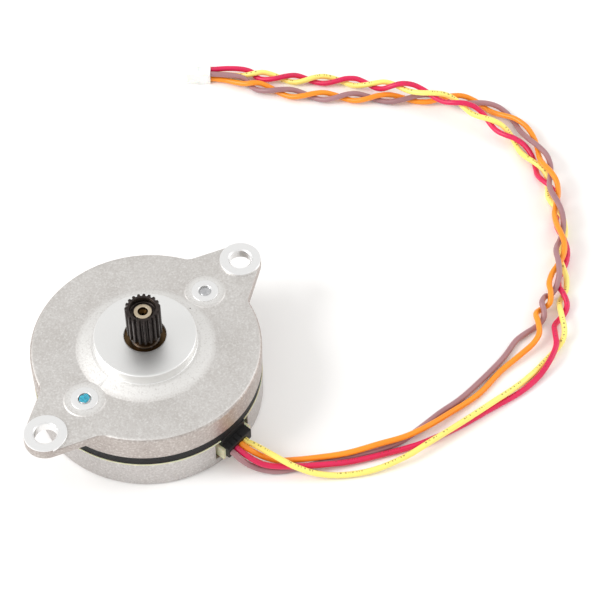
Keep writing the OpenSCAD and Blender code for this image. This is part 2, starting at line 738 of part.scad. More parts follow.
front_cover();
rear_cover();
stator_core();
front_insulator();
rear_insulator();
coil(1);  // coil_1
coil(2);  // coil_2
coil(3);  // coil_3
coil(4);  // coil_4
coil(5);  // coil_5
coil(6);  // coil_6
coil(7);  // coil_7
coil(8);  // coil_8
shaft();
rotor_disc_front();
rotor_disc_rear();
rotor_magnet();
rotor_spacer_front();
rotor_spacer_rear();
pinion_collar();
pinion();
front_bearing_outer_ring();
front_bearing_inner_ring();
front_bearing_balls();
front_bearing_cage();
front_bearing_shields();
rear_bearing_outer_ring();
rear_bearing_inner_ring();
rear_bearing_balls();
rear_bearing_cage();
rear_bearing_shields();
wave_washer();
case_screws();
threadlock_dab();
terminal_block();
terminal_board();
terminal_pins();
wire_brown();
wire_red();
wire_orange();
wire_yellow();
connector_housing();
connector_contacts();
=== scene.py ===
import math

import bpy
from mathutils import Matrix, Vector


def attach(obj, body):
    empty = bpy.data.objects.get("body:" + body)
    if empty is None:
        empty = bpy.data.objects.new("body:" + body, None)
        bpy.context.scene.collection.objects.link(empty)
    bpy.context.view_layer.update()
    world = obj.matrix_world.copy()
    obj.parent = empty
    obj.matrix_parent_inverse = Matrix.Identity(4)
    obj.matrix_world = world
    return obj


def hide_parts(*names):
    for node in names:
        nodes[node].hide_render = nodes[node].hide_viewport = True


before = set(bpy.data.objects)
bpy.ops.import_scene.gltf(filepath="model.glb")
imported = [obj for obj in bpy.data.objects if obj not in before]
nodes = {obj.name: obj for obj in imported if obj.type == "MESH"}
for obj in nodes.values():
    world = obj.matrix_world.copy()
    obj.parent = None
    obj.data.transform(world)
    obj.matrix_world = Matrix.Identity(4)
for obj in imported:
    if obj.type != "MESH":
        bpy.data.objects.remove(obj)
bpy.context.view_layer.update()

MM = 0.001
scene = bpy.context.scene


# ---------------------------------------------------------------- camera

azimuth = math.radians(-49.56)
elevation = math.radians(52.71)
roll = math.radians(0.148)
camera_mm = Vector((-123.94, -136.98, 264.19))
lens_mm = 120.5
sensor_mm = 36
back = Vector((math.sin(azimuth) * math.cos(elevation),
               -math.cos(azimuth) * math.cos(elevation), math.sin(elevation)))
right = Vector((math.cos(azimuth), math.sin(azimuth), 0))
up = back.cross(right)
cam_x = right * math.cos(roll) + up * math.sin(roll)
cam_y = up * math.cos(roll) - right * math.sin(roll)
camera = bpy.data.objects.new("camera", bpy.data.cameras.new("camera"))
scene.collection.objects.link(camera)
turn = Matrix((cam_x, cam_y, back)).transposed().to_4x4()
camera.matrix_world = Matrix.Translation(camera_mm * MM) @ turn
camera.data.sensor_width = sensor_mm
camera.data.lens = lens_mm
camera.data.clip_start = 0.01
camera.data.clip_end = 20
scene.camera = camera


# ---------------------------------------------------------------- materials

def lin(r, g, b):
    """An 8-bit sRGB colour as linear RGBA."""
    out = []
    for c in (r, g, b):
        c = c / 255
        out.append(c / 12.92 if c <= 0.04045 else ((c + 0.055) / 1.055) ** 2.4)
    return out + [1.0]


class Mat:
    """A material with helpers that add nodes in object space, in metres."""

    def __init__(self, name, colour, metallic=0.0, roughness=0.5, **shader):
        self.m = bpy.data.materials.new(name)
        self.m.use_nodes = True
        self.t = self.m.node_tree
        self.b = self.t.nodes["Principled BSDF"]
        self.set("Base Color", colour)
        self.set("Metallic", metallic)
        self.set("Roughness", roughness)
        for k, v in shader.items():
            self.set(k.replace("_", " "), v)
        self.m.diffuse_color = colour
        self.coord = self.node("ShaderNodeTexCoord").outputs["Object"]
        self.colour = None
        self.rough = None
        self.height = None
        self.base = colour
        self.base_rough = roughness

    def set(self, socket, value):
        self.b.inputs[socket].default_value = value

    def node(self, kind, **props):
        n = self.t.nodes.new(kind)
        for k, v in props.items():
            setattr(n, k, v)
        return n

    def link(self, a, b):
        self.t.links.new(a, b)

    def scaled(self, s):
        """Object coordinates stretched by (x, y, z)."""
        n = self.node("ShaderNodeMapping")
        n.inputs["Scale"].default_value = s
        self.link(self.coord, n.inputs["Vector"])
        return n.outputs["Vector"]

    def noise(self, size_mm, detail=3.0, stretch=None):
        """Smooth noise from 0 to 1 with features of about this size."""
        n = self.node("ShaderNodeTexNoise")
        n.inputs["Scale"].default_value = 1000 / size_mm
        n.inputs["Detail"].default_value = detail
        n.inputs["Roughness"].default_value = 0.55
        self.link(self.scaled(stretch) if stretch else self.coord, n.inputs["Vector"])
        return n.outputs["Fac"]

    def cells(self, size_mm):
        """Distance to the nearest of a set of scattered points."""
        n = self.node("ShaderNodeTexVoronoi", feature="F1")
        n.inputs["Scale"].default_value = 1000 / size_mm
        self.link(self.coord, n.inputs["Vector"])
        return n.outputs["Distance"]

    def remap(self, fac, a, b, c=0.0, d=1.0):
        """The range a to b of a value spread over c to d, and held there beyond it."""
        n = self.node("ShaderNodeMapRange")
        for k, v in zip(("From Min", "From Max", "To Min", "To Max"), (a, b, c, d)):
            n.inputs[k].default_value = v
        self.link(fac, n.inputs["Value"])
        return n.outputs["Result"]

    def math(self, op, a, b=0.0):
        n = self.node("ShaderNodeMath", operation=op)
        for s, v in zip(n.inputs, (a, b)):
            if isinstance(v, (int, float)):
                s.default_value = v
            else:
                self.link(v, s)
        return n.outputs[0]

    def tint(self, fac, colour):
        """Mixes the colour so far towards another one by fac."""
        n = self.node("ShaderNodeMix", data_type="RGBA")
        self.link(fac, n.inputs[0])
        if self.colour is None:
            n.inputs[6].default_value = self.base
        else:
            self.link(self.colour, n.inputs[6])
        n.inputs[7].default_value = colour
        self.colour = n.outputs[2]
        self.link(self.colour, self.b.inputs["Base Color"])

    def roughen(self, fac, low, high):
        """Sets the roughness from low to high by fac."""
        r = self.remap(fac, 0.0, 1.0, low, high)
        self.rough = r if self.rough is None else self.math("MAXIMUM", self.rough, r)
        self.link(self.rough, self.b.inputs["Roughness"])

    def bump(self, fac, depth_mm, strength=1.0):
        """Raises the surface by fac, on top of the bumps it already has."""
        n = self.node("ShaderNodeBump")
        n.inputs["Strength"].default_value = strength
        n.inputs["Distance"].default_value = depth_mm * MM
        self.link(fac, n.inputs["Height"])
        if self.height is not None:
            self.link(self.height, n.inputs["Normal"])
        self.height = n.outputs["Normal"]
        self.link(self.height, self.b.inputs["Normal"])

    def xyz(self):
        n = self.node("ShaderNodeSeparateXYZ")
        self.link(self.coord, n.inputs[0])
        return n.outputs

    def radius(self, x_mm=0.0, y_mm=0.0):
        """Distance from a line parallel to Z through x, y, in millimetres."""
        x, y, _ = self.xyz()
        dx = self.math("SUBTRACT", x, x_mm * MM)
        dy = self.math("SUBTRACT", y, y_mm * MM)
        s = self.math("ADD", self.math("MULTIPLY", dx, dx), self.math("MULTIPLY", dy, dy))
        return self.math("MULTIPLY", self.math("SQRT", s), 1000.0)

    def along(self, value, per_unit):
        """Smooth random value along one number."""
        n = self.node("ShaderNodeTexNoise", noise_dimensions="1D")
        n.inputs["Scale"].default_value = per_unit
        n.inputs["Detail"].default_value = 1.0
        self.link(value, n.inputs["W"])
        return n.outputs["Fac"]

    def lathe(self, pitch_mm, x_mm=0.0, y_mm=0.0):
        """Fine turning rings round a line parallel to Z, as a value from 0 to 1."""
        r = self.math("ADD", self.radius(x_mm, y_mm), self.math("MULTIPLY", self.xyz()[2], 1000.0))
        n = self.node("ShaderNodeTexNoise", noise_dimensions="1D")
        n.inputs["Scale"].default_value = 1.0
        n.inputs["Detail"].default_value = 4.0
        self.link(self.math("MULTIPLY", r, 1.0 / pitch_mm), n.inputs["W"])
        return n.outputs["Fac"]


def cast_metal(name, colour, dark, light, rough=0.5, grain=0.28, pits=(), painted_glow_rings=()):
    """Die-cast aluminium: fine blasted grain, faint clouds and specks, paler in rings of painted highlight.
    """
    m = Mat(name, colour, 1.0, rough)
    cloud = m.noise(5.5, 4.0)
    grit = m.noise(grain, 2.0)
    speck = m.cells(0.55)
    m.tint(m.remap(cloud, 0.42, 0.72, 0.0, 0.4), dark)
    # painted highlight: paler inside each ring's radius, fading out over about a millimetre at its edge
    for x, y, r in painted_glow_rings:
        m.tint(m.remap(m.radius(x, y), r + 0.45, r - 0.55, 0.0, 0.8), light)
    m.tint(m.remap(grit, 0.5, 0.78, 0.0, 0.8), light)
    m.tint(m.remap(grit, 0.45, 0.25, 0.0, 0.55), dark)
    m.tint(m.remap(speck, 0.13, 0.04, 0.0, 0.5), light)
    # painted shade: a dark spot at each pit, which has no hollow in the mesh
    for x, y, r in pits:
        m.tint(m.remap(m.radius(x, y), r, r * 0.5, 0.0, 0.9), lin(60, 55, 52))
    m.roughen(grit, rough - 0.08, rough + 0.16)
    m.bump(grit, 0.035, 0.7)
    m.bump(m.noise(0.9, 3.0), 0.05, 0.4)
    return m.m


def turned_metal(name, colour, rough, pitch=0.05, depth=0.006, x=0.0, y=0.0, patch_colour=None):
    """Lathe-turned metal with fine rings round one axis."""
    m = Mat(name, colour, 1.0, rough)
    rings = m.lathe(pitch, x, y)
    m.tint(m.remap(rings, 0.4, 0.75, 0.0, 0.25), [c * 0.8 for c in colour[:3]] + [1.0])
    # patches of a second colour where a broad noise is high
    if patch_colour:
        m.tint(m.remap(m.noise(1.6, 3.0), 0.5, 0.75, 0.0, 0.6), patch_colour)
    m.roughen(rings, rough - 0.05, rough + 0.12)
    m.bump(rings, depth, 0.6)
    return m.m


def plain_metal(name, colour, rough, shade, grain=0.5, depth=0.004):
    """Plated or stamped metal with faint handling marks."""
    m = Mat(name, colour, 1.0, rough)
    a = m.noise(grain, 3.0)
    b = m.noise(grain * 5, 3.0)
    m.tint(m.remap(a, 0.45, 0.75, 0.0, 0.5), shade)
    m.tint(m.remap(b, 0.5, 0.7, 0.0, 0.4), shade)
    m.roughen(b, rough - 0.04, rough + 0.14)
    m.bump(a, depth, 0.6)
    return m.m


def plastic(name, colour, rough, shade, grain=0.3, depth=0.006, **shader):
    """Moulded plastic: fine spark-eroded skin with soft flow marks."""
    m = Mat(name, colour, 0.0, rough, **shader)
    a = m.noise(grain, 3.0)
    b = m.noise(grain * 8, 2.0)
    m.tint(m.remap(b, 0.4, 0.75, 0.0, 0.6), shade)
    m.tint(m.remap(a, 0.55, 0.8, 0.0, 0.3), shade)
    m.roughen(a, rough - 0.06, rough + 0.12)
    m.bump(a, depth, 0.5)
    return m.m


def wire_skin(name, colour, shade, glow, print_strength=0.0):
    """Extruded insulation: smooth, slightly waxy, with plain dashes where the real one is printed."""
    m = Mat(name, colour, 0.0, 0.36, Subsurface_Weight=0.05, Subsurface_Scale=0.0004)
    m.set("Subsurface Radius", glow)
    m.set("Coat Weight", 0.15)
    m.set("Coat Roughness", 0.3)
    a = m.noise(0.6, 3.0)
    b = m.noise(7.0, 2.0)
    m.tint(m.remap(b, 0.4, 0.7, 0.0, 0.45), shade)
    m.tint(m.remap(a, 0.55, 0.8, 0.0, 0.2), shade)
    if print_strength:
        uv = m.node("ShaderNodeUVMap", uv_map="along")
        s = m.node("ShaderNodeSeparateXYZ")
        m.link(uv.outputs["UV"], s.inputs[0])
        dash = m.along(s.outputs[0], 2.6)
        group = m.math("FRACT", m.math("MULTIPLY", s.outputs[0], 0.13))
        on = m.math("MULTIPLY", m.remap(dash, 0.52, 0.56), m.remap(group, 0.6, 0.56))
        side = m.math("ABSOLUTE", m.math("SUBTRACT", s.outputs[1], 0.27))
        on = m.math("MULTIPLY", on, m.remap(side, 0.06, 0.035, 0.0, print_strength))
        m.tint(on, lin(84, 62, 44))
    m.roughen(a, 0.3, 0.46)
    m.bump(a, 0.004, 0.5)
    return m.m


# Sizes in millimetres that more than one piece uses
EAR_X = 22.0         # ear holes, from the axis
SCREW_X = 13.6       # case screws, from the axis
BODY_R = 18.0
FACE_Z = 12.2        # front face
PILOT_Z = 14.8       # top of the pilot boss
PITS = ((6.4, 16.6, 0.17), (9.4, -0.7, 0.14))                              # casting pits, dark spots of painted shade: x, y, radius
PAINTED_GLOW_RINGS = ((0.0, 0.0, 10.6), (SCREW_X, 0.0, 3.0), (-SCREW_X, 0.0, 3.0))     # rings of painted highlight: x, y, radius

M_CAST = cast_metal("cast_face", lin(212, 209, 206), lin(190, 185, 180), lin(233, 232, 230), 0.5,
                    pits=PITS, painted_glow_rings=PAINTED_GLOW_RINGS)
# painted shade: a darker, warmer copy of the casting colour for the steep faces of the outer wall
M_CAST_SIDE_SHADE = cast_metal("cast_side_painted_shade", lin(188, 180, 175), lin(150, 138, 134), lin(224, 220, 216), 0.45, 0.35)
M_REAR = cast_metal("cast_rear", lin(196, 192, 190), lin(160, 154, 150), lin(226, 224, 222), 0.42, 0.32)
M_PILOT = turned_metal("turned_pilot", lin(243, 243, 242), 0.36)
M_PAD = turned_metal("machined_pad", lin(246, 246, 246), 0.34, 0.12, 0.006, EAR_X, 0.0)


# ---------------------------------------------------------------- mesh helpers

ON_AXIS = 1e-6       # a point this near the axis of a lathe is a single point

def new_object(name, verts, faces, mats, body, smooth_deg=32.0):
    me = bpy.data.meshes.new(name)
    me.from_pydata([Vector(v) * MM for v in verts], [], faces)
    me.validate()
    me.update()
    o = bpy.data.objects.new(name, me)
    scene.collection.objects.link(o)
    for m in mats:
        me.materials.append(m)
    if body:
        finish_mesh(o, body, smooth_deg)
    return o


def finish_mesh(o, body, smooth_deg=32.0):
    me = o.data
    me.polygons.foreach_set("use_smooth", [True] * len(me.polygons))
    me.set_sharp_from_angle(angle=math.radians(smooth_deg))
    w = o.modifiers.new("normals", "WEIGHTED_NORMAL")
    w.keep_sharp = True
    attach(o, body)


def arc_corner(p, a, b, radius, steps):
    """Points of a round of this radius at corner p, between the points a and b."""
    p, a, b = Vector(p), Vector(a), Vector(b)
    u, v = (a - p).normalized(), (b - p).normalized()
    half = u.angle(v) / 2
    if radius <= 0 or half > math.radians(88):
        return [tuple(p)]
    cut = radius / math.tan(half)
    centre = p + (u + v).normalized() * (radius / math.sin(half))
    start, end = p + u * cut - centre, p + v * cut - centre
    out = []
    for i in range(steps + 1):
        d = start.lerp(end, i / steps)
        out.append(tuple(centre + d.normalized() * radius))
    return out


def rounded(points, steps=4):
    """A closed outline from corners (x, y, radius)."""
    n = len(points)
    out = []
    for i, (x, y, r) in enumerate(points):
        a, b = points[i - 1][:2], points[(i + 1) % n][:2]
        out += arc_corner((x, y), a, b, r, steps)
    return out


def lathe_solid(profile, n=128, at=(0.0, 0.0)):
    """Verts and faces of a closed (r, z) profile turned round a line parallel to Z."""
    verts, faces, rings = [], [], []
    for r, z in profile:
        if r < ON_AXIS:
            rings.append([len(verts)] * n)
            verts.append((at[0], at[1], z))
            continue
        rings.append(list(range(len(verts), len(verts) + n)))
        for k in range(n):
            a = 2 * math.pi * k / n
            verts.append((at[0] + r * math.cos(a), at[1] + r * math.sin(a), z))
    for i in range(len(rings)):
        p, q = rings[i], rings[(i + 1) % len(rings)]
        for k in range(n):
            f = [p[k], p[(k + 1) % n], q[(k + 1) % n], q[k]]
            f = [v for j, v in enumerate(f) if v != f[j - 1]]
            if len(set(f)) >= 3:
                faces.append(f)
    return verts, faces


def loft(rings):
    """Verts and faces of a solid through rings of equal length, capped at both ends."""
    n = len(rings[0])
    verts = [v for ring in rings for v in ring]
    faces = [list(range(n - 1, -1, -1))]
    for i in range(len(rings) - 1):
        for k in range(n):
            a, b = i * n + k, i * n + (k + 1) % n
            faces.append([a, b, b + n, a + n])
    faces.append([(len(rings) - 1) * n + k for k in range(n)])
    return verts, faces


def inset(outline, d):
    """A closed counter-clockwise outline moved inwards by d."""
    n = len(outline)
    out = []
    for i in range(n):
        a, p, b = (Vector(outline[j % n]) for j in (i - 1, i, i + 1))
        e0, e1 = (p - a).normalized(), (b - p).normalized()
        m = Vector((-(e0.y + e1.y), e0.x + e1.x))
        m = m.normalized() / max(0.4, math.cos(e0.angle(e1) / 2) if e0.length and e1.length else 1)
        out.append(tuple(p + m * d))
    return out


def rounded_prism(outline, z0, z1, edge, steps=3, edge0=None):
    """A prism over a counter-clockwise outline, with rounded upper and lower edges."""
    edge0 = edge if edge0 is None else edge0
    rings = []
    for i in range(steps + 1):
        a = math.pi / 2 * i / steps
        ring = inset(outline, edge0 * (1 - math.sin(a)))
        rings.append([(x, y, z0 + edge0 * (1 - math.cos(a))) for x, y in ring])
    for i in range(steps + 1):
        a = math.pi / 2 * i / steps
        ring = inset(outline, edge * (1 - math.cos(a)))
        rings.append([(x, y, z1 - edge + edge * math.sin(a)) for x, y in ring])
    return loft(rings)


def boolean(o, others, operation):
    """Joins or cuts o with closed solids, in millimetres, where the exact solver has room to work."""
    grow = Matrix.Scale(1 / MM, 4)
    o.data.transform(grow)
    for verts, faces in others:
        tool = new_object("tool", verts, faces, [], None)
        tool.data.transform(grow)
        mod = o.modifiers.new("b", "BOOLEAN")
        mod.operation = operation
        mod.solver = "EXACT"
        mod.object = tool
        dg = bpy.context.evaluated_depsgraph_get()
        made = bpy.data.meshes.new_from_object(o.evaluated_get(dg))
        old = o.data
        o.modifiers.clear()
        o.data = made
        bpy.data.meshes.remove(old)
        bpy.data.objects.remove(tool)
    o.data.transform(Matrix.Scale(MM, 4))


def restamp(o, mats, pick):
    """Gives each face the material that pick(centre, normal) names, both in millimetres."""
    me = o.data
    me.materials.clear()
    for m in mats:
        me.materials.append(m)
    for p in me.polygons:
        p.material_index = pick(p.center / MM, p.normal)


# ---------------------------------------------------------------- cords

WIRE_R = 0.475
TWIST_SIDE = 0.7     # half the spread of a pair, side to side
TWIST_RISE = 0.55    # half the height between its wires where they cross
TWIST_STEPS = 3      # points in each half turn
PLUG_ANGLE = math.radians(130)
PLUG_AT = (56.83, 38.34)
PLUG_IN = 0.8        # how far a wire goes into its cavity
PLUG_OUT = -0.6      # the last point of a wire before its cavity
EXIT_X = -0.45       # middle of the row of wires at the terminal block
EXIT_PITCH = 1.0
EXIT_Z = 3.3
BLOCK_Y = -19.3      # front of the terminal block
CELL_SIDE = 0.6
CELLS = ((-1, 1.85), (1, 1.85), (-1, 0.65), (1, 0.65))     # cavities: side, height
# Each wire's loose stretch, the line of its pair, and its last points before the plug: x, y, z
LOOSE_BROWN = (
    (-1.9, -20.9, 2.85), (-1.2, -22.3, 1.65), (-0.2, -23.9, 0.85), (1.2, -25.7, 0.55),
    (3.4, -27.5, 0.5), (7.2, -30.1, 0.5), (10.6, -32.6, 0.5), (14.5, -35.2, 0.5), (18.2, -36.9, 0.5),
    (22.2, -37.6, 0.5), (26.4, -38.2, 0.55), (30.5, -39, 0.55), (36, -39.3, 0.5), (41.3, -39.3, 0.5),
    (45.2, -38.8, 0.5), (47.5, -39.1, 0.55), (49.8, -39.6, 0.55), (51.5, -39.7, 0.95),
    (52.5, -39.1, 1.65), (53.3, -38, 2.25), (55.2, -37.4, 1.5),
)
LOOSE_RED = (
    (-0.9, -20.8, 3.1), (-0.5, -22.5, 2.5), (0.2, -24.1, 1.95), (1.4, -25.7, 1.7), (2.7, -27.1, 1.55),
    (6, -30.3, 1.3), (9.9, -33.4, 0.8), (14.2, -36.2, 0.6), (18.1, -38.6, 0.55), (21, -40.1, 0.6),
    (26.3, -42.1, 0.5), (32.2, -43.8, 0.5), (37.7, -45.4, 0.5), (42, -45.9, 0.7), (45.3, -45.6, 1.4),
    (48.2, -44.7, 1.65), (50.3, -43, 1.25), (51.9, -41.8, 0.65), (53.7, -41.6, 0.5),
    (55.3, -41.5, 0.7), (56.6, -40.8, 1.2),
)
LOOSE_ORANGE = (
    (0.2, -21, 3.1), (0.8, -22.3, 2.35), (1.6, -23.5, 1.6), (2.5, -24.7, 1.1), (3.9, -26.1, 0.9),
    (6.6, -29, 1.35), (10.3, -32.2, 1.55), (14.7, -35, 1.8), (18.7, -37.2, 1.55), (22.9, -38.6, 1.25),
    (27, -39.5, 0.9), (33, -40.6, 0.5), (38.7, -40.6, 0.6), (43.2, -41.2, 1), (46.3, -41.5, 1.2),
    (48.5, -41.1, 1.5), (50, -39.7, 1.8), (51.4, -38.3, 1.35), (53.1, -38.2, 0.8), (54.3, -38.9, 1.8),
)
LOOSE_YELLOW = (
    (1.2, -20.7, 3.3), (1.5, -22.6, 3.3), (1.9, -24.8, 3.05), (2.4, -26.9, 2.65), (3.1, -28.6, 2.1),
    (4.6, -31, 1.2), (7.3, -34, 0.65), (11.1, -37.1, 0.8), (15.8, -39.5, 1.4), (20.2, -40.7, 1.55),
    (26.3, -42.2, 1.55), (32.4, -43.6, 1.65), (37.9, -44.5, 1.05), (42.3, -44.8, 0.55),
    (45.9, -44.8, 0.5), (48.3, -44.8, 0.55), (50.3, -44.6, 1.1), (51.8, -43.7, 1.7),
    (53.8, -41.6, 1.8), (56.1, -39.7, 0.65),
)
PAIR_A = (
    (55.8, -37.9, 2.05), (61, -35.5, 3.25), (66, -32.5, 3.2), (71.5, -27.5, 3.2), (76, -23, 3.2),
    (80, -17.5, 2.3), (83.5, -10, 1.1), (83, -3.5, 1.05), (80.5, 2, 1.05), (76, 7, 1.05),
    (72, 12, 1.05), (68.5, 16.5, 1.05), (65, 21, 1.05), (62, 26, 1.05), (59.8, 31, 1.05),
)
PAIR_B = (
    (57.6, -39.2, 1.05), (62, -36, 1.05), (67, -32.5, 1.05), (71.5, -28, 1.05), (75, -23.5, 1.05),
    (77.5, -19, 1.05), (79.5, -13, 1.4), (79.5, -7.5, 2.4), (79, -2, 3.2), (77.5, 3.5, 3.2),
    (75.5, 9.5, 3.1), (73.5, 14, 1.7), (71.5, 19, 1.05), (68, 23.5, 1.05), (65, 27.5, 1.05),
    (62.1, 32, 1.1),
)
TAIL_BROWN = (
    (60.07, 32.19, 0.72), (59.95, 33.14, 1.2), (59.25, 34.24, 1.6), (58.12, 35.65, 1.82),
)
TAIL_RED = (
    (62.4, 33.17, 0.7), (61.86, 34.13, 1.15), (60.67, 35.29, 1.65), (59.23, 36.77, 1.83),
)
TAIL_ORANGE = (
    (59.05, 32.01, 1.3), (58.52, 33.66, 0.9), (57.91, 35.51, 0.66),
)
TAIL_YELLOW = (
    (61.25, 32.9, 1.35), (60.6, 33.94, 0.85), (59.78, 35.37, 0.62), (58.85, 36.72, 0.64),
)


def on_curve(p, t):
    """The point of the smooth curve through p at position t, counted in points."""
    n = len(p) - 1
    i = min(int(math.floor(t)), n - 1)
    f = t - i
    a, b, c, d = (Vector(p[k]) for k in (max(i - 1, 0), i, i + 1, min(i + 2, n)))
    return 0.5 * (2 * b + (c - a) * f + (2 * a - 5 * b + 4 * c - d) * f ** 2
                  + (3 * b - a - 3 * c + d) * f ** 3)


def curve_points(p, steps):
    return [on_curve(p, i / steps) for i in range((len(p) - 1) * steps + 1)]


def twisted(p, start):
    """One wire of a pair; start is 0 if it lies on top at the first crossing."""
    out = []
    for i in range((len(p) - 1) * TWIST_STEPS + 1):
        t = i / TWIST_STEPS
        along = on_curve(p, min(t + 0.05, len(p) - 1)) - on_curve(p, max(t - 0.05, 0))
        side = Vector((-along.y, along.x, 0)).normalized()
        turn = math.pi * (t - start)
        out.append(on_curve(p, t) + TWIST_SIDE * math.sin(turn) * side
                   + Vector((0, 0, TWIST_RISE * math.cos(turn))))
    return out


def exit_point(i):
    """Where wire i leaves the terminal block."""
    return Vector((EXIT_X + (i - 1.5) * EXIT_PITCH, BLOCK_Y, EXIT_Z))


def in_plug(along, side, z):
    """A place in the plug: along from its wire end, side to side, and height."""
    c, s = math.cos(PLUG_ANGLE), math.sin(PLUG_ANGLE)
    return Vector((PLUG_AT[0] + along * c - side * s, PLUG_AT[1] + along * s + side * c, z))


def route(i, loose, pair, start, tail, c):
    """All points of wire i, from the terminal block into cavity c of the plug."""
    side, z = CELLS[c]
    return ([exit_point(i), exit_point(i) + Vector((0, -0.8, -0.05))] + [Vector(p) for p in loose]
            + twisted(pair, start) + [Vector(p) for p in tail]
            + [in_plug(PLUG_OUT, side * CELL_SIDE, z), in_plug(PLUG_IN, side * CELL_SIDE, z)])


def tube(name, path, radius, mat, sides=14, steps=4):
    """A smooth tube through the points of a path, with the arc length and the angle as its UV map."""
    line = curve_points(path, steps)
    verts, faces, length = [], [], [0.0]
    for i, p in enumerate(line):
        t = (line[min(i + 1, len(line) - 1)] - line[max(i - 1, 0)]).normalized()
        side = t.cross(Vector((0, 0, 1))).normalized()
        rise = side.cross(t)
        for k in range(sides):
            a = 2 * math.pi * k / sides
            verts.append(p + radius * (math.cos(a) * side + math.sin(a) * rise))
        if i:
            length.append(length[-1] + (p - line[i - 1]).length)
    n = len(line)
    for i in range(n - 1):
        for k in range(sides):
            a, b = i * sides + k, i * sides + (k + 1) % sides
            faces.append([a, b, b + sides, a + sides])
    faces.append([k for k in range(sides - 1, -1, -1)])
    faces.append([(n - 1) * sides + k for k in range(sides)])
    o = new_object(name, verts, faces, [mat], None)
    layer = o.data.uv_layers.new(name="along")
    for p in o.data.polygons[:(n - 1) * sides]:
        i, k = divmod(p.index, sides)
        at = ((i, k), (i, k + 1), (i + 1, k + 1), (i + 1, k))
        for loop, (ring, step) in zip(p.loop_indices, at):
            layer.data[loop].uv = (length[ring], step / sides)
    finish_mesh(o, "housing", 60)
    return o, line, length[-1]


WIRE_LOOKS = {
    "brown": wire_skin("skin_brown", lin(166, 122, 126), lin(140, 96, 100), (0.6, 0.3, 0.3)),
    "red": wire_skin("skin_red", lin(222, 14, 84), lin(196, 8, 66), (0.9, 0.1, 0.2), 0.4),
    "orange": wire_skin("skin_orange", lin(250, 150, 18), lin(240, 128, 8), (1.0, 0.45, 0.1)),
    "yellow": wire_skin("skin_yellow", lin(254, 236, 128), lin(250, 224, 98), (1.0, 0.85, 0.3), 0.7),
}
ROUTES = {
    "brown": route(0, LOOSE_BROWN, PAIR_A, 1, TAIL_BROWN, 1),
    "red": route(1, LOOSE_RED, PAIR_B, 0, TAIL_RED, 0),
    "orange": route(2, LOOSE_ORANGE, PAIR_A, 0, TAIL_ORANGE, 3),
    "yellow": route(3, LOOSE_YELLOW, PAIR_B, 1, TAIL_YELLOW, 2),
}
cords = {}
for colour, path in ROUTES.items():
    o, line, length = tube("lead_" + colour, path, WIRE_R, WIRE_LOOKS[colour])
    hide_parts("wire_" + colour)
    cords[colour] = (o, line, length)


# ---------------------------------------------------------------- front cover

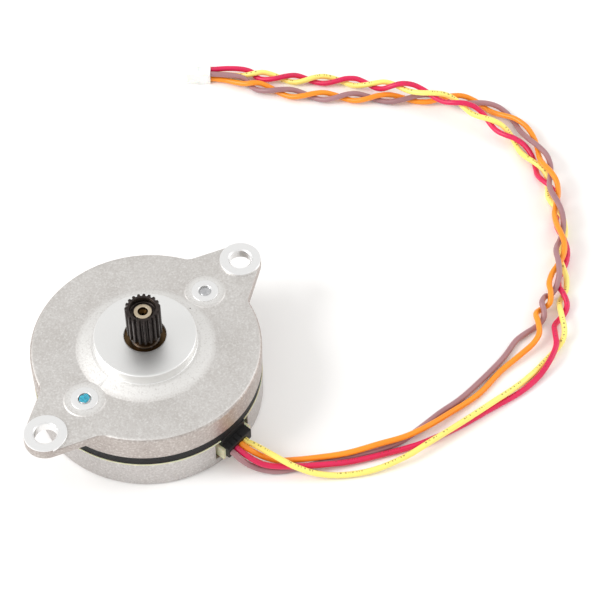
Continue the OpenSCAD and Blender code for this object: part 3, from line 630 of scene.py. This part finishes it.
def front_cover():
    """Casting with its pedestal, pilot boss and ears, raised pads and rings, and drilled holes."""
    profile = rounded([
        (BODY_R, 7.5, 0.12), (BODY_R, FACE_Z, 0.55), (17.2, FACE_Z, 0), (12.0, FACE_Z, 0),
        (10.9, FACE_Z, 0.6), (8.55, 12.87, 0.35), (8.0, 12.87, 0.1), (8.0, PILOT_Z, 0.2),
        (7.5, PILOT_Z, 0), (3.6, PILOT_Z, 0), (3.25, PILOT_Z, 0.12), (3.25, 14.2, 0), (4.02, 14.2, 0),
        (4.02, 11.2, 0), (16.4, 11.2, 0), (16.4, 9.7, 0), (17.42, 9.7, 0), (17.42, 7.5, 0)], 5)
    verts, faces = lathe_solid(profile, 192)
    o = new_object("front_cover_casting", verts, faces, [], None)

    # ears: straight flanks, rounded into the body, with a raised pad round each hole
    ear_r, round_r, flank = 3.35, 2.5, math.radians(26.6)
    flank_n = Vector((math.sin(flank), math.cos(flank)))
    flank_u = Vector((-math.cos(flank), math.sin(flank)))
    base = Vector((EAR_X, 0)) + (ear_r + round_r) * flank_n
    b = base.dot(flank_u)
    c = base.dot(base) - (BODY_R - 0.15 + round_r) ** 2
    centre = base + (-b - math.sqrt(b * b - c)) * flank_u
    end = math.atan2(centre.y, centre.x) - math.pi
    stop = -math.pi / 2 - flank
    half = [17.1 * centre.normalized()]
    for i in range(9):
        a = end + (stop - end) * i / 8
        half.append(centre + round_r * Vector((math.cos(a), math.sin(a))))
    for i in range(21):
        a = (math.pi / 2 - flank) * (1 - i / 20)
        half.append(Vector((EAR_X + ear_r * math.cos(a), ear_r * math.sin(a))))
    outline = [tuple(p) for p in half] + [(p.x, -p.y) for p in half[-2::-1]]
    outline = outline[::-1]
    adds = []
    for s in (1, -1):
        shape = outline if s > 0 else [(-x, -y) for x, y in outline]
        adds.append(rounded_prism(shape, 10.6, 12.196, 0.28, 3, 0.22))
        pad = rounded([(0, 11.9, 0), (3.3, 11.9, 0), (3.3, 12.55, 0.1), (3.1, 12.55, 0), (0, 12.55, 0)], 3)
        adds.append(lathe_solid(pad, 72, (s * EAR_X, 0)))
        low = rounded([(0, 11.9, 0), (3.35, 12.16, 0), (3.08, 12.31, 0.15), (0, 12.31, 0)], 4)
        adds.append(lathe_solid(low, 72, (s * SCREW_X, 0)))
        ring = rounded([(0, 12.0, 0), (2.1, 12.0, 0), (2.1, 12.45, 0.07), (0, 12.45, 0)], 3)
        adds.append(lathe_solid(ring, 64, (s * SCREW_X, 0)))
        post = [(0, 10.1), (1.8, 10.1), (1.8, 11.5), (0, 11.5)]
        adds.append(lathe_solid(post, 32, (s * SCREW_X, 0)))
    boolean(o, adds, "UNION")
    cuts = []
    for s in (1, -1):
        hole = [(0, 8.0), (2.0, 8.0), (2.0, 10.5), (1.97, 10.62), (1.75, 10.84), (1.75, 12.34),
                (1.95, 12.55), (2.2, 12.8), (0, 12.8)]
        cuts.append(lathe_solid(hole, 64, (s * EAR_X, 0)))
        hole = [(0, 8.0), (1.02, 8.0), (1.02, 12.38), (1.15, 12.5), (0, 12.5)]
        cuts.append(lathe_solid(hole, 48, (s * SCREW_X, 0)))
    boolean(o, cuts, "DIFFERENCE")

    def pick(c, n):
        r = math.hypot(c.x, c.y)
        ear = math.hypot(abs(c.x) - EAR_X, c.y)
        screw = math.hypot(abs(c.x) - SCREW_X, c.y)
        if r < 8.2:
            return 1 if c.z > 12.8 else 0
        if ear < 3.31 and (c.z > 12.25 or ear < 2.1) and c.z > 10.9:
            return 2 if c.x > 0 else 3
        if screw < 2.11 and c.z > 12.3:
            return 4 if c.x > 0 else 5
        # painted shade: steep faces of the outer wall take the darker copy of the casting
        return 6 if n.z < 0.75 and r > 17 else 0

    restamp(o, [M_CAST, M_PILOT, M_PAD, M_PAD_L, M_RING, M_RING_L, M_CAST_SIDE_SHADE], pick)
    finish_mesh(o, "housing", 28)
    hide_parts("front_cover")


M_PAD_L = turned_metal("machined_pad_left", lin(246, 246, 246), 0.34, 0.12, 0.006, -EAR_X, 0.0)
M_RING = turned_metal("screw_ring", lin(244, 244, 244), 0.36, 0.1, 0.006, SCREW_X, 0.0)
M_RING_L = turned_metal("screw_ring_left", lin(244, 244, 244), 0.36, 0.1, 0.006, -SCREW_X, 0.0)
front_cover()


# ---------------------------------------------------------------- pinion, shaft end and screws

def pinion():
    """Rounded spur teeth with a chamfered upper end and a counterbore round the shaft."""
    z0, z1, teeth = 15.7, 21.6, 19
    tip, root, bore, counterbore = 2.75, 2.3, 1.51, 2.0
    tooth = [(-0.50, root), (-0.38, 2.31), (-0.3, 2.4), (-0.245, 2.55), (-0.195, 2.68), (-0.13, 2.735),
             (0.0, tip), (0.13, 2.735), (0.195, 2.68), (0.245, 2.55), (0.3, 2.4), (0.38, 2.31)]
    tooth_ring = [(i + f, r) for i in range(teeth) for f, r in tooth]

    def ring(z, cap):
        out = []
        for f, r in tooth_ring:
            a = 2 * math.pi * f / teeth
            out.append((min(r, cap) * math.cos(a), min(r, cap) * math.sin(a), z))
        return out

    def plain(z, r):
        return [(r * math.cos(2 * math.pi * f / teeth), r * math.sin(2 * math.pi * f / teeth), z)
                for f, _ in tooth_ring]

    rings = [plain(z0, bore), ring(z0, 2.6), ring(z0 + 0.12, tip)]
    rings += [ring(z0 + 0.12 + (z1 - z0 - 0.26) * k / 6, tip) for k in range(1, 7)]
    rings += [ring(z1 - 0.04, 2.71), ring(z1, 2.66), plain(z1, 2.14), plain(z1 - 0.04, 2.06),
              plain(z1 - 0.14, counterbore), plain(z1 - 1.12, counterbore), plain(z1 - 1.2, 1.92),
              plain(z1 - 1.2, bore)]
    n = len(tooth_ring)
    verts = [v for r in rings for v in r]
    faces = []
    for i in range(len(rings)):
        j = (i + 1) % len(rings)
        for k in range(n):
            m = (k + 1) % n
            faces.append([i * n + k, i * n + m, j * n + m, j * n + k])
    o = new_object("pinion_toothed", verts, faces, [M_PINION], "rotor", 35)
    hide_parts("pinion")


def dark_steel():
    m = Mat("pinion_dark", lin(58, 51, 49), 0.85, 0.34, Specular_IOR_Level=0.6)
    a = m.noise(0.35, 4.0, (1, 1, 0.25))
    b = m.noise(1.4, 3.0)
    m.tint(m.remap(b, 0.45, 0.75, 0.0, 0.7), lin(34, 29, 27))
    m.tint(m.remap(a, 0.58, 0.8, 0.0, 0.5), lin(112, 98, 90))
    m.roughen(a, 0.26, 0.5)
    m.bump(a, 0.008, 0.6)
    return m.m


M_PINION = dark_steel()
pinion()


def shaft():
    """Ground shaft with a chamfered end and a deep centre hole."""
    r, z0, z1 = 1.5, 1.25, 20.75
    profile = rounded([(0, z0, 0), (r, z0, 0.12), (r, z1 - 0.22, 0.06), (1.38, z1, 0.08), (0.8, z1, 0.05),
                       (0.66, z1 - 0.4, 0.05), (0.24, z1 - 0.8, 0), (0.2, z1 - 1.5, 0), (0, z1 - 1.55, 0)], 3)
    verts, faces = lathe_solid(profile, 64)
    o = new_object("shaft_ground", verts, faces, [], "rotor", 30)
    # the centre hole's faces take the material of painted shade
    restamp(o, [M_SHAFT, M_HOLE_SHADE], lambda c, n: 1 if math.hypot(c.x, c.y) < 0.79 and c.z > z1 - 1.6 else 0)
    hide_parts("shaft")


# painted reflection: the shaft steel is a warm cream with brown patches for the warm light it reflects
M_SHAFT = turned_metal("shaft_steel_painted_sheen", lin(205, 190, 166), 0.3, 0.07, 0.004, patch_colour=lin(160, 128, 92))
# painted shade: the centre hole is the same turned steel, made dark brown for the shade inside it
M_HOLE_SHADE = turned_metal("centre_hole_painted_shade", lin(70, 50, 26), 0.35, 0.12, 0.01, patch_colour=lin(30, 18, 8))
shaft()


def screws():
    """Case screws: rolled thread, domed tip, pan head with a cross recess, sunk in the rear cover."""
    for s, side in ((1, "right"), (-1, "left")):
        pitch, tip, head = 0.4, 12.32, 1.6
        profile = [(0, 0.3, 0.0), (1.72, 0.3, 0.25), (1.9, 0.62, 0.1), (1.9, head, 0.06), (1.0, head, 0)]
        z = 10.5
        profile.append((1.0, z, 0))
        while z < tip - 0.5:
            profile += [(0.84, z + pitch * 0.4, 0), (1.0, z + pitch * 0.85, 0.0), (1.0, z + pitch, 0.0)]
            z += pitch
        profile += [(0.98, tip - 0.28, 0.05), (0.8, tip - 0.1, 0.1), (0.55, tip - 0.02, 0.1), (0, tip, 0)]
        verts, faces = lathe_solid(rounded(profile, 2), 48, (s * SCREW_X, 0))
        o = new_object("case_screw_" + side, verts, faces, [], None)
        cuts = []
        for a in (0, math.pi / 2):
            c, d = math.cos(a), math.sin(a)
            bar = [(-1.1, -0.2), (1.1, -0.2), (1.1, 0.2), (-1.1, 0.2)]
            low = [(s * SCREW_X + x * c - y * d, x * d + y * c, -0.5) for x, y in bar]
            mid = [(s * SCREW_X + x * 0.45 * c - y * d, x * 0.45 * d + y * c, 1.1) for x, y in bar]
            cuts.append(loft([low, mid]))
        boolean(o, cuts, "DIFFERENCE")
        o.data.materials.append(M_SCREW)
        finish_mesh(o, "housing", 35)
        if s > 0:
            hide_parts("case_screws")


M_SCREW = plain_metal("zinc_screw", lin(205, 206, 208), 0.26, lin(150, 152, 156), 0.25, 0.006)
screws()


def threadlock():
    """An uneven set drop over the back of the left screw's tip."""
    n, rows = 40, 14
    verts, faces = [], []
    cx, top = -SCREW_X, 12.3
    for i in range(rows + 1):
        f = i / rows
        for k in range(n):
            a = 2 * math.pi * k / n
            wave = 0.05 * math.sin(3 * a + 0.6) + 0.04 * math.sin(5 * a - 1.1) + 0.02 * math.sin(9 * a + 2)
            r = (0.86 + wave) * math.cos(f * math.pi / 2 * 0.985)
            lump = 0.03 * math.sin(4 * a + 7 * f) * math.sin(math.pi * f) + 0.02 * math.sin(11 * a * f)
            h = 0.2 * math.sin(f * math.pi / 2) * (1 + 0.3 * math.cos(a - 0.9) * (1 - f)) + lump * 0.35
            verts.append((cx + 0.06 + r * math.cos(a), 0.1 + r * math.sin(a) * 0.88, top - 0.02 + h))
    for i in range(rows):
        for k in range(n):
            a, b = i * n + k, i * n + (k + 1) % n
            faces.append([a, b, b + n, a + n])
    faces.append([k for k in range(n - 1, -1, -1)])
    faces.append([rows * n + k for k in range(n)])
    o = new_object("threadlock_drop", verts, faces, [M_LOCK], "housing", 60)
    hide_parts("threadlock_dab")


def lock_resin():
    m = Mat("threadlock", lin(40, 172, 196), 0.0, 0.2, Subsurface_Weight=0.2, Subsurface_Scale=0.0004)
    m.set("Coat Weight", 0.6)
    m.set("Coat Roughness", 0.15)
    a = m.noise(0.3, 3.0)
    m.tint(m.remap(a, 0.42, 0.66, 0.0, 0.85), lin(18, 112, 140))
    m.tint(m.remap(m.cells(0.4), 0.16, 0.05, 0.0, 0.7), lin(150, 225, 235))
    m.roughen(a, 0.14, 0.3)
    m.bump(a, 0.03, 0.8)
    return m.m


M_LOCK = lock_resin()
threadlock()


# ---------------------------------------------------------------- terminal and plug

def box_prism(x0, x1, y0, y1, z0, z1, edge, corner=0.16):
    outline = rounded([(x0, y0, corner), (x1, y0, corner), (x1, y1, corner), (x0, y1, corner)], 2)
    return rounded_prism(outline, z0, z1, edge, 2)


def terminal_block():
    """Black moulded block with a moulded eye round each wire and shallow ribs on top."""
    verts, faces = box_prism(-2.6, 2.6, BLOCK_Y, -16.75, 2.2, 4.4, 0.12)
    o = new_object("terminal_block_moulded", verts, faces, [], None)
    adds = [box_prism(-2.6, 2.6, -17.9, -16.75, 3.9, 5.67, 0.08)]
    boolean(o, adds, "UNION")
    cuts = []
    for i in range(4):
        x = EXIT_X + (i - 1.5) * EXIT_PITCH
        eye = []
        for k in range(24):
            a = 2 * math.pi * k / 24
            eye.append((math.cos(a), math.sin(a)))
        hole = [[(x + r * c, y, EXIT_Z + r * s) for c, s in eye]
                for y, r in ((-18.9, 0.48), (-19.22, 0.48), (-19.4, 0.56))]
        cuts.append(loft(hole))
    for i in range(3):
        x = EXIT_X + (i - 1) * EXIT_PITCH
        cuts.append(box_prism(x - 0.1, x + 0.1, -19.2, -18.1, 4.28, 4.6, 0.02, 0.04))
    boolean(o, cuts, "DIFFERENCE")
    o.data.materials.append(M_BLACK)
    finish_mesh(o, "housing", 35)
    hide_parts("terminal_block")


M_BLACK = plastic("moulded_black", lin(9, 9, 10), 0.5, lin(16, 15, 17), 0.22, 0.012)
terminal_block()


def plug():
    """Small white housing: rounded shell, cavities, end lip, keying rib and a latch."""
    def place(pts):
        return [tuple(in_plug(x, y, z)) for x, y, z in pts]

    def put(shape):
        return place(shape[0]), shape[1]

    long, half_wide, high, cell_half = 4.3, 1.4, 2.49, 0.5
    verts, faces = put(box_prism(0, long, -half_wide, half_wide, 0.01, high, 0.16, 0.22))
    o = new_object("plug_housing", verts, faces, [], None)
    adds = [put(box_prism(2.1, 3.7, -1.59, 1.59, 0.6, 1.0, 0.06, 0.1)),
            put(box_prism(0.3, 0.9, -1.48, 1.48, 0.35, 2.1, 0.05, 0.1))]
    boolean(o, adds, "UNION")
    cuts = [put(box_prism(-1, long + 1, side * CELL_SIDE - cell_half, side * CELL_SIDE + cell_half,
                          z - cell_half, z + cell_half, 0.03, 0.05)) for side, z in CELLS]
    cuts.append(put(box_prism(1.5, 2.3, -0.45, 0.45, 2.36, 2.9, 0.02, 0.06)))
    boolean(o, cuts, "DIFFERENCE")
    o.data.materials.append(M_WHITE)
    finish_mesh(o, "housing", 35)
    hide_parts("connector_housing")
    return o


M_WHITE = plastic("moulded_white", lin(244, 243, 240), 0.38, lin(234, 232, 224), 0.25, 0.006,
                  Subsurface_Weight=0.15, Subsurface_Scale=0.0005)
plug_piece = plug()
for colour, (o, line, length) in cords.items():
    [c * MM for c in line[0]]
    [p * MM for p in line]


# ---------------------------------------------------------------- CAD nodes that keep their shape

def laminated(name, colour, shade, pitch, rough):
    """A stack of thin sheets with an oxide skin."""
    m = Mat(name, colour, 0.35, rough)
    _, _, z = m.xyz()
    saw = m.math("FRACT", m.math("MULTIPLY", z, 1000.0 / pitch))
    line = m.remap(m.math("ABSOLUTE", m.math("SUBTRACT", saw, 0.5)), 0.34, 0.5, 0.0, 1.0)
    m.tint(m.math("MULTIPLY", line, 0.6), shade)
    a = m.noise(0.5, 3.0)
    m.tint(m.remap(a, 0.5, 0.75, 0.0, 0.5), [c * 1.9 for c in colour[:3]] + [1.0])
    m.roughen(a, rough - 0.05, rough + 0.2)
    m.bump(m.math("SUBTRACT", 1.0, line), 0.03, 0.8)
    return m.m


def winding(name, colour, shade):
    """Enamelled wire laid round the pole."""
    m = Mat(name, colour, 0.9, 0.3)
    m.set("Coat Weight", 0.5)
    m.set("Coat Roughness", 0.2)
    r = m.radius()
    n = m.noise(3.0, 2.0)
    s = m.math("SINE", m.math("ADD", m.math("MULTIPLY", r, 28.0), m.math("MULTIPLY", n, 5.0)))
    f = m.remap(s, -1.0, 1.0, 0.0, 1.0)
    # painted shade: darker in the grooves between turns
    m.tint(m.remap(f, 0.5, 0.0, 0.0, 0.8), shade)
    m.roughen(f, 0.24, 0.4)
    m.bump(f, 0.05, 0.9)
    return m.m


steel = plain_metal("ground_ring", lin(208, 208, 210), 0.24, lin(170, 171, 175), 0.6)
# painted shade and painted reflection: the steel shields are dark brown for the shade down in the bore and
# the warm light they reflect
shield = plain_metal("stamped_shield_painted_shade", lin(96, 76, 52), 0.3, lin(46, 32, 20), 0.5)
nylon = plastic("cream_nylon", lin(226, 222, 190), 0.42, lin(206, 200, 160), 0.3, 0.008,
                Subsurface_Weight=0.15, Subsurface_Scale=0.0006)
brass = turned_metal("turned_brass", lin(92, 70, 44), 0.28, 0.08, 0.008, patch_colour=lin(40, 26, 14))
tin = plain_metal("tinned_contact", lin(214, 204, 176), 0.3, lin(176, 160, 120), 0.3)
board = plastic("board_mask", lin(34, 96, 58), 0.3, lin(22, 72, 42), 0.3, 0.004, Coat_Weight=0.4)
rotor_steel = laminated("rotor_laminations", lin(108, 108, 112), lin(50, 50, 52), 0.3, 0.35)
stator_black = laminated("stator_laminations", lin(10, 10, 14), lin(4, 4, 5), 0.36, 0.5)
magnet = plain_metal("nickel_plate", lin(186, 182, 172), 0.25, lin(150, 146, 136), 0.4)
spacer = turned_metal("turned_spacer", lin(190, 190, 190), 0.3)
spring = plain_metal("spring_strip", lin(176, 178, 184), 0.22, lin(130, 128, 122), 0.3)
ball = plain_metal("ball_polish", lin(222, 223, 226), 0.08, lin(205, 206, 210), 0.3, 0.0005)
cage = plain_metal("cage_stamping", lin(190, 156, 96), 0.3, lin(140, 108, 60), 0.25)
copper = winding("coil_winding", lin(176, 94, 50), lin(96, 42, 20))
LOOKS = {"rear_cover": M_REAR, "stator_core": stator_black, "front_insulator": nylon,
         "rear_insulator": nylon, "rotor_disc_front": rotor_steel, "rotor_disc_rear": rotor_steel,
         "rotor_magnet": magnet, "rotor_spacer_front": spacer, "rotor_spacer_rear": spacer,
         "pinion_collar": brass, "wave_washer": spring, "terminal_board": board,
         "terminal_pins": tin, "connector_contacts": tin}
for k in range(1, 9):
    LOOKS["coil_%d" % k] = copper
for end in ("front", "rear"):
    for part, mat in (("outer_ring", steel), ("inner_ring", steel), ("balls", ball),
                      ("cage", cage), ("shields", shield)):
        LOOKS[end + "_bearing_" + part] = mat
for name, mat in LOOKS.items():
    me = nodes[name].data
    me.materials.clear()
    me.materials.append(mat)


# ---------------------------------------------------------------- floor and light

def floor():
    """A wide pale sheet just below the motor."""
    half, drop = 3, 0.00002
    me = bpy.data.meshes.new("floor")
    corners = [(-half, -half, 0), (half, -half, 0), (half, half, 0), (-half, half, 0)]
    me.from_pydata(corners, [], [(0, 1, 2, 3)])
    o = bpy.data.objects.new("floor", me)
    scene.collection.objects.link(o)
    m = Mat("floor_paper", lin(250, 249, 248), 0.0, 0.7)
    me.materials.append(m.m)
    o.location.z = -drop


def softbox(name, at, size, power):
    """A round soft light aimed at the middle of the motor."""
    light = bpy.data.lights.new(name, "AREA")
    light.shape = "DISK"
    light.size = size
    light.energy = power
    o = bpy.data.objects.new(name, light)
    scene.collection.objects.link(o)
    o.location = at
    o.rotation_mode = "QUATERNION"
    o.rotation_quaternion = (Vector((0.01, 0, 0.01)) - Vector(at)).to_track_quat("-Z", "Y")


# Places and sizes in metres, power in watts
floor()
softbox("key", (-0.42, 0.30, 0.45), 0.34, 2.6)
softbox("fill", (0.45, -0.35, 0.35), 0.34, 0.8)
world = bpy.data.worlds.new("studio")
world.use_nodes = True
world.node_tree.nodes["Background"].inputs["Color"].default_value = (1.0, 0.995, 0.985, 1.0)
world.node_tree.nodes["Background"].inputs["Strength"].default_value = 0.88
scene.world = world
scene.view_settings.view_transform = "Standard"
